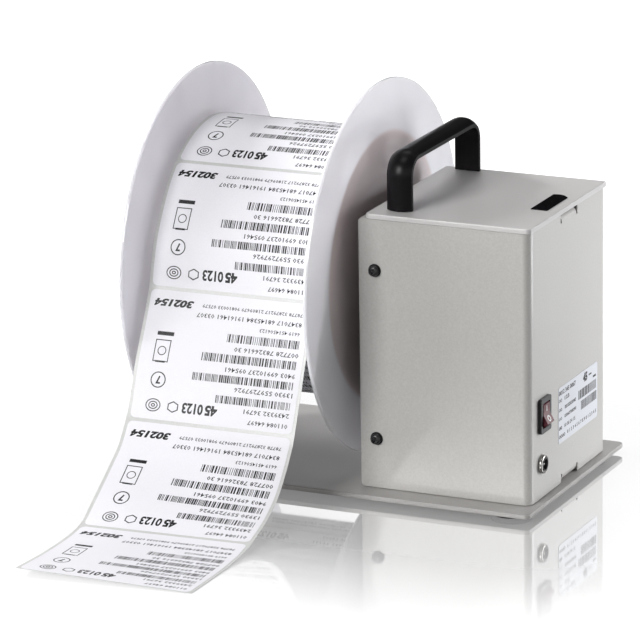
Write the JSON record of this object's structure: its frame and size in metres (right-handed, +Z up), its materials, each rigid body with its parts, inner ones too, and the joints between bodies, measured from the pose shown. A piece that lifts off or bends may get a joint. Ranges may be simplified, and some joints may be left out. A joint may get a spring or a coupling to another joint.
{
  "type": "label rewinder",
  "caption": "Motor-driven label rewinder: a folded steel housing turns a spindle whose two acrylic flanges guide a web of labels onto a paper core.",
  "frame": {"origin": "on the underside of the base plate, straight below the spindle's axis, in the plane of the housing wall that faces the reel", "axes": "+X along the spindle from the reel to the housing, +Y to the back, +Z up"},
  "size_m": [0.2634, 0.3668, 0.232],
  "materials": {
    "acetal": "natural moulded acetal",
    "acrylic": "polished milky white acrylic sheet",
    "aluminium": "turned or extruded aluminium",
    "black_plastic": "black moulded plastic",
    "black_plate": "smooth black badge film",
    "black_screw": "black oxide steel",
    "board": "green circuit board laminate",
    "chrome": "bright nickel-chrome plate",
    "dark_plastic": "dark grey moulded nylon",
    "kraft": "wound brown core board",
    "label_paper": "matt white face paper on grey glassine liner",
    "powder_coat": "fine-textured light grey powder coat",
    "rocker_red": "translucent dark red moulded rocker",
    "rubber": "black rubber",
    "satin_black": "satin black lacquer on the carrying handle",
    "steel": "ground or drawn steel"
  },
  "bodies": {
    "frame": {"base_plate": "powder_coat", "foot_front_left": "rubber", "foot_front_right": "rubber", "foot_rear_left": "rubber", "foot_rear_right": "rubber", "frame_screw_front": "black_screw", "frame_screw_rear": "black_screw", "cover_tab_screw": "black_screw", "wall_frame": "powder_coat", "cover": "powder_coat", "cover_screw_front_upper": "black_screw", "cover_screw_front_lower": "black_screw", "cover_screw_rear_upper": "black_screw", "cover_screw_rear_lower": "black_screw", "lid": "powder_coat", "handle": "satin_black", "handle_screw_front": "black_screw", "handle_screw_rear": "black_screw", "badge": "black_plate", "rating_label": "label_paper", "switch_bezel": "dark_plastic", "power_socket": "black_plastic", "socket_nut": "chrome", "drive_plate": "steel", "plate_spacer_front_upper": "steel", "plate_spacer_front_lower": "steel", "plate_spacer_rear_upper": "steel", "plate_spacer_rear_lower": "steel", "gearbox": "steel", "motor": "steel", "board_rail_left": "aluminium", "board_rail_right": "aluminium", "control_board": "board", "board_capacitor": "black_plastic", "terminal_block": "board", "label_tail": "label_paper", "bearing_boss": "aluminium", "wall_bearing": "steel", "inner_bearing": "steel"},
    "reel": {"spindle_shaft": "steel", "drive_gear": "acetal", "mandrel": "aluminium", "mandrel_cap": "black_plastic", "inner_flange": "acrylic", "core": "kraft", "label_roll": "label_paper", "inner_flange_screw_1": "steel", "inner_flange_screw_2": "steel", "inner_flange_screw_3": "steel"},
    "outer_flange_set": {"outer_flange": "acrylic", "outer_hub": "black_plastic", "outer_flange_screw_1": "steel", "outer_flange_screw_2": "steel", "outer_flange_screw_3": "steel"},
    "lock_screw": {"lock_screw": "black_plastic"},
    "pinion": {"output_shaft": "steel", "drive_pinion": "steel"},
    "rocker": {"switch_rocker": "rocker_red"}
  },
  "joints": [
    {"name": "reel_spin", "type": "hinge", "parent": "frame", "child": "reel", "pos_m": [0, 0, 0.1195], "axis": [1, 0, 0], "continuous": true},
    {"name": "pinion_spin", "type": "hinge", "parent": "frame", "child": "pinion", "pos_m": [0, 0.024, 0.0875], "axis": [1, 0, 0], "continuous": true},
    {"name": "outer_flange_slide", "type": "slide", "parent": "reel", "child": "outer_flange_set", "axis": [-1, 0, 0], "range_m": [-0.0025, 0.022]},
    {"name": "lock_screw_turn", "type": "hinge", "parent": "outer_flange_set", "child": "lock_screw", "pos_m": [-0.1398, 0, 0.1195], "axis": [0, 0, 1], "range_deg": [0, 360]},
    {"name": "rocker_tilt", "type": "hinge", "parent": "frame", "child": "rocker", "pos_m": [0.1044, -0.039, 0.0528], "axis": [0, 1, 0], "range_deg": [0, 28]}
  ],
  "couplings": [
    {"joint": "pinion_spin", "follows": "reel_spin", "ratio": -3}
  ]
}
